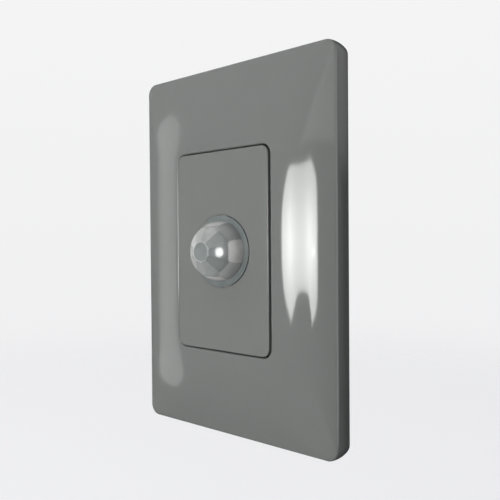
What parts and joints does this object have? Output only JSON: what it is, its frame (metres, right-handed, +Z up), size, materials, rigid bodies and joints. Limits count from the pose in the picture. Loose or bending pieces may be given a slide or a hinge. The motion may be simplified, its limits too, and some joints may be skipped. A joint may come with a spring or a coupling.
{
  "type": "motion sensor light switch",
  "caption": "Grey wall switch with a crowned cover plate, a flat sensor insert with a milky faceted dome lens, and a wired module behind that sits in a wall box.",
  "frame": {"origin": "midpoint between the two box screw slots, on the wall plane behind the plate", "axes": "+Z up the wall, +Y into the wall, +X to the right as seen from the room"},
  "size_m": [0.0786, 0.0495, 0.121],
  "materials": {
    "plate_gloss": "glossy grey moulding",
    "cover_gloss": "glossy grey moulding",
    "lens_milky": "milky translucent polyethylene",
    "frame_plastic": "black glass-filled moulding",
    "case_dark": "charcoal moulding",
    "case_light": "light grey moulding",
    "steel": "zinc plated",
    "brass": "plain brass",
    "board": "green solder mask",
    "can_metal": "nickel plated can",
    "filter_dark": "dark infrared filter",
    "lamp_red": "red tinted resin",
    "sensor_clear": "clear resin",
    "chip_black": "black moulding compound",
    "trimmer_black": "black moulding",
    "dial_orange": "orange moulding",
    "relay_blue": "blue moulding",
    "film_yellow": "yellow box",
    "sleeve_black": "black sleeve",
    "varistor_blue": "blue coating",
    "resistor_body": "blue-grey coating"
  },
  "bodies": {
    "switch": {"cover_plate": "plate_gloss", "sensor_cover": "cover_gloss", "lens_dome": "lens_milky", "support_frame": "frame_plastic", "housing_front": "case_dark", "housing_rear": "case_light", "housing_screws": "steel", "sensor_board": "board", "pir_can": "can_metal", "pir_window": "filter_dark", "status_lamp": "lamp_red", "light_sensor": "sensor_clear", "controller_chip": "chip_black", "time_trimmer": "trimmer_black", "lux_trimmer": "trimmer_black", "board_header": "chip_black", "power_board": "board", "relay": "relay_blue", "film_capacitor": "film_yellow", "smoothing_capacitor": "sleeve_black", "varistor": "varistor_blue", "rectifier": "chip_black", "fuse_resistor": "resistor_body", "terminal_bars": "brass"},
    "time_dial": {"time_dial": "dial_orange"},
    "lux_dial": {"lux_dial": "dial_orange"},
    "line_cage": {"line_cage": "brass"},
    "load_cage": {"load_cage": "brass"},
    "neutral_cage": {"neutral_cage": "brass"},
    "line_screw": {"line_screw": "steel"},
    "load_screw": {"load_screw": "steel"},
    "neutral_screw": {"neutral_screw": "steel"}
  },
  "joints": [
    {"name": "time_dial_turn", "type": "hinge", "parent": "switch", "child": "time_dial", "pos_m": [0, -0.0075, 0.02], "axis": [0, 1, 0], "range_deg": [-135, 135]},
    {"name": "lux_dial_turn", "type": "hinge", "parent": "switch", "child": "lux_dial", "pos_m": [0, -0.0075, -0.02], "axis": [0, 1, 0], "range_deg": [-135, 135]},
    {"name": "line_screw_turn", "type": "hinge", "parent": "switch", "child": "line_screw", "pos_m": [-0.01033, 0.0252, -0.0259], "axis": [0, -1, 0], "range_deg": [0, 2760]},
    {"name": "line_cage_rise", "type": "slide", "parent": "switch", "child": "line_cage", "axis": [0, 1, 0], "range_m": [0, 0.0046]},
    {"name": "load_screw_turn", "type": "hinge", "parent": "switch", "child": "load_screw", "pos_m": [0, 0.0252, -0.0259], "axis": [0, -1, 0], "range_deg": [0, 2760]},
    {"name": "load_cage_rise", "type": "slide", "parent": "switch", "child": "load_cage", "axis": [0, 1, 0], "range_m": [0, 0.0046]},
    {"name": "neutral_screw_turn", "type": "hinge", "parent": "switch", "child": "neutral_screw", "pos_m": [0.01033, 0.0252, -0.0259], "axis": [0, -1, 0], "range_deg": [0, 2760]},
    {"name": "neutral_cage_rise", "type": "slide", "parent": "switch", "child": "neutral_cage", "axis": [0, 1, 0], "range_m": [0, 0.0046]}
  ],
  "couplings": [
    {"joint": "line_screw_turn", "follows": "line_cage_rise", "rad_per_m": 10472},
    {"joint": "load_screw_turn", "follows": "load_cage_rise", "rad_per_m": 10472},
    {"joint": "neutral_screw_turn", "follows": "neutral_cage_rise", "rad_per_m": 10472}
  ]
}
